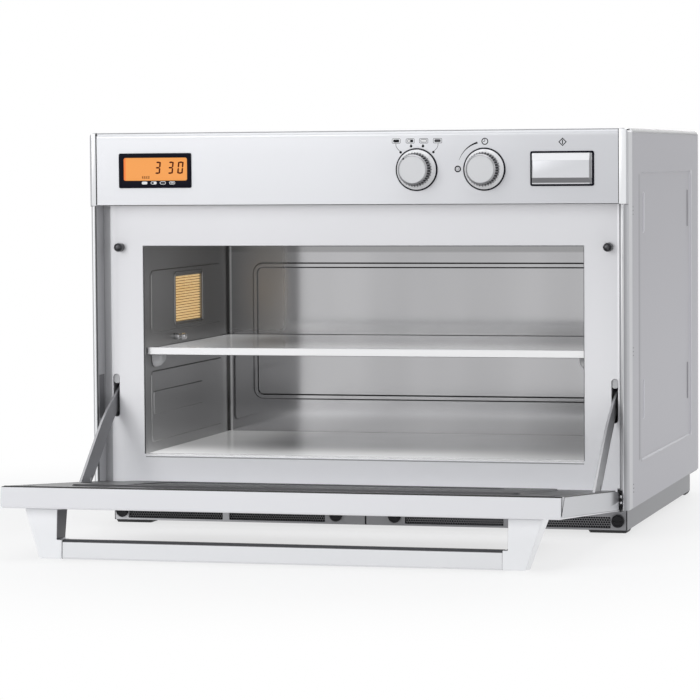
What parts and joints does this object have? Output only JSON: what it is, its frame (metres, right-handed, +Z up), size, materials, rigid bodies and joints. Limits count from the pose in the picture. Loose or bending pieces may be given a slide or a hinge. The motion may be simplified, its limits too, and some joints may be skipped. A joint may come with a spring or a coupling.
{
  "type": "commercial microwave oven",
  "caption": "Countertop commercial microwave oven with a drop-down door, two ceramic levels, two knobs, a display and a start button.",
  "frame": {"origin": "middle of the model's box at the worktop, with the door open", "axes": "+X right seen from the front, +Y to the rear, +Z up"},
  "size_m": [0.65, 0.8714, 0.471],
  "materials": {
    "aluminium": "satin anodised",
    "amber_glass": "amber display glass",
    "black_plastic": "black moulding",
    "board": "green circuit board",
    "ceramic": "white glazed ceramic",
    "cover_paint": "light grey fine-textured paint on steel",
    "dark_steel": "dark burnished steel",
    "glass": "dark window glass",
    "lamination": "varnished laminations and coils",
    "lamp_glass": "ribbed lamp glass, warm",
    "rubber": "black rubber",
    "satin_steel": "satin stainless steel",
    "silver_moulding": "satin silver lacquered moulding",
    "silver_paint": "satin silver paint on steel",
    "white_moulding": "off-white moulding",
    "zinc": "zinc-plated steel"
  },
  "bodies": {
    "case": {"arm_guide_left": "zinc", "arm_guide_right": "zinc", "base_plinth": "zinc", "button_bezel": "black_plastic", "cable_gland": "black_plastic", "case_cover": "cover_paint", "catch_stud_left": "dark_steel", "catch_stud_right": "dark_steel", "cavity_liner": "satin_steel", "ceiling_plate": "ceramic", "ceramic_floor": "ceramic", "control_board": "board", "control_panel": "silver_moulding", "display_bezel": "black_plastic", "display_glass": "amber_glass", "face_plate": "satin_steel", "fan_frame": "black_plastic", "filter_panel_left": "zinc", "filter_panel_right": "zinc", "foot_front_left": "rubber", "foot_front_right": "rubber", "foot_rear_left": "rubber", "foot_rear_right": "rubber", "front_frame": "silver_paint", "hinge_bracket_left": "dark_steel", "hinge_bracket_right": "dark_steel", "lamp_cover": "lamp_glass", "magnetron_lower": "zinc", "magnetron_upper": "zinc", "oven_lamp": "zinc", "rear_panel": "zinc", "shelf_pin_left": "satin_steel", "shelf_pin_right": "satin_steel", "shelf_support_front_left": "white_moulding", "shelf_support_front_right": "white_moulding", "shelf_support_rear_left": "white_moulding", "shelf_support_rear_right": "white_moulding", "transformer_left": "lamination", "transformer_right": "lamination", "waveguide_lower": "zinc", "waveguide_upper": "zinc"},
    "door": {"door_shell": "white_moulding", "door_inner_panel": "satin_steel", "door_glass": "glass", "handle_bar": "aluminium", "handle_bracket_left": "white_moulding", "handle_bracket_right": "white_moulding"},
    "arm_left": {"door_arm_left": "dark_steel"},
    "arm_right": {"door_arm_right": "dark_steel"},
    "middle_shelf": {"shelf": "ceramic"},
    "power_dial": {"power_knob": "silver_moulding"},
    "timer_dial": {"timer_knob": "silver_moulding"},
    "start_key": {"start_button": "silver_moulding"},
    "upper_stirrer": {"stirrer_upper": "zinc"},
    "lower_stirrer": {"stirrer_lower": "zinc"},
    "cooling_fan": {"fan_wheel": "black_plastic"},
    "screw_left_inner": {"thumb_screw_left_inner": "black_plastic"},
    "screw_left_outer": {"thumb_screw_left_outer": "black_plastic"},
    "screw_right_inner": {"thumb_screw_right_inner": "black_plastic"},
    "screw_right_outer": {"thumb_screw_right_outer": "black_plastic"}
  },
  "joints": [
    {"name": "door_hinge", "type": "hinge", "parent": "case", "child": "door", "pos_m": [0, -0.08832, 0.034], "axis": [1, 0, 0], "range_deg": [-85.4, 0]},
    {"name": "arm_pivot_left", "type": "hinge", "parent": "door", "child": "arm_left", "pos_m": [-0.3038, -0.19653, 0.05444], "axis": [1, 0, 0], "range_deg": [0, 49.1]},
    {"name": "arm_pivot_right", "type": "hinge", "parent": "door", "child": "arm_right", "pos_m": [0.3038, -0.19653, 0.05444], "axis": [1, 0, 0], "range_deg": [0, 49.1]},
    {"name": "shelf_slide", "type": "slide", "parent": "case", "child": "middle_shelf", "axis": [0, -1, 0], "range_m": [0, 0.2]},
    {"name": "power_turn", "type": "hinge", "parent": "case", "child": "power_dial", "pos_m": [0.0763, -0.09462, 0.4249], "axis": [0, 1, 0], "range_deg": [0, 84]},
    {"name": "timer_turn", "type": "hinge", "parent": "case", "child": "timer_dial", "pos_m": [0.1568, -0.09462, 0.4249], "axis": [0, 1, 0], "continuous": true},
    {"name": "start_press", "type": "slide", "parent": "case", "child": "start_key", "axis": [0, 1, 0], "range_m": [0, 0.0025], "stiffness_N_per_m": 400},
    {"name": "stirrer_turn_upper", "type": "hinge", "parent": "case", "child": "upper_stirrer", "pos_m": [0, 0.10418, 0.3526], "axis": [0, 0, 1], "continuous": true},
    {"name": "stirrer_turn_lower", "type": "hinge", "parent": "case", "child": "lower_stirrer", "pos_m": [0, 0.10418, 0.0645], "axis": [0, 0, 1], "continuous": true},
    {"name": "fan_turn", "type": "hinge", "parent": "case", "child": "cooling_fan", "pos_m": [-0.15, 0.42438, 0.255], "axis": [0, 1, 0], "continuous": true},
    {"name": "screw_turn_left_inner", "type": "hinge", "parent": "case", "child": "screw_left_inner", "pos_m": [-0.036, -0.04872, 0.0146], "axis": [0, 1, 0], "continuous": true},
    {"name": "screw_turn_left_outer", "type": "hinge", "parent": "case", "child": "screw_left_outer", "pos_m": [-0.304, -0.04872, 0.0146], "axis": [0, 1, 0], "continuous": true},
    {"name": "screw_turn_right_inner", "type": "hinge", "parent": "case", "child": "screw_right_inner", "pos_m": [0.036, -0.04872, 0.0146], "axis": [0, 1, 0], "continuous": true},
    {"name": "screw_turn_right_outer", "type": "hinge", "parent": "case", "child": "screw_right_outer", "pos_m": [0.304, -0.04872, 0.0146], "axis": [0, 1, 0], "continuous": true}
  ],
  "couplings": [
    {"joint": "arm_pivot_left", "follows": "door_hinge", "ratio": -0.57377},
    {"joint": "arm_pivot_right", "follows": "door_hinge", "ratio": -0.57377}
  ]
}
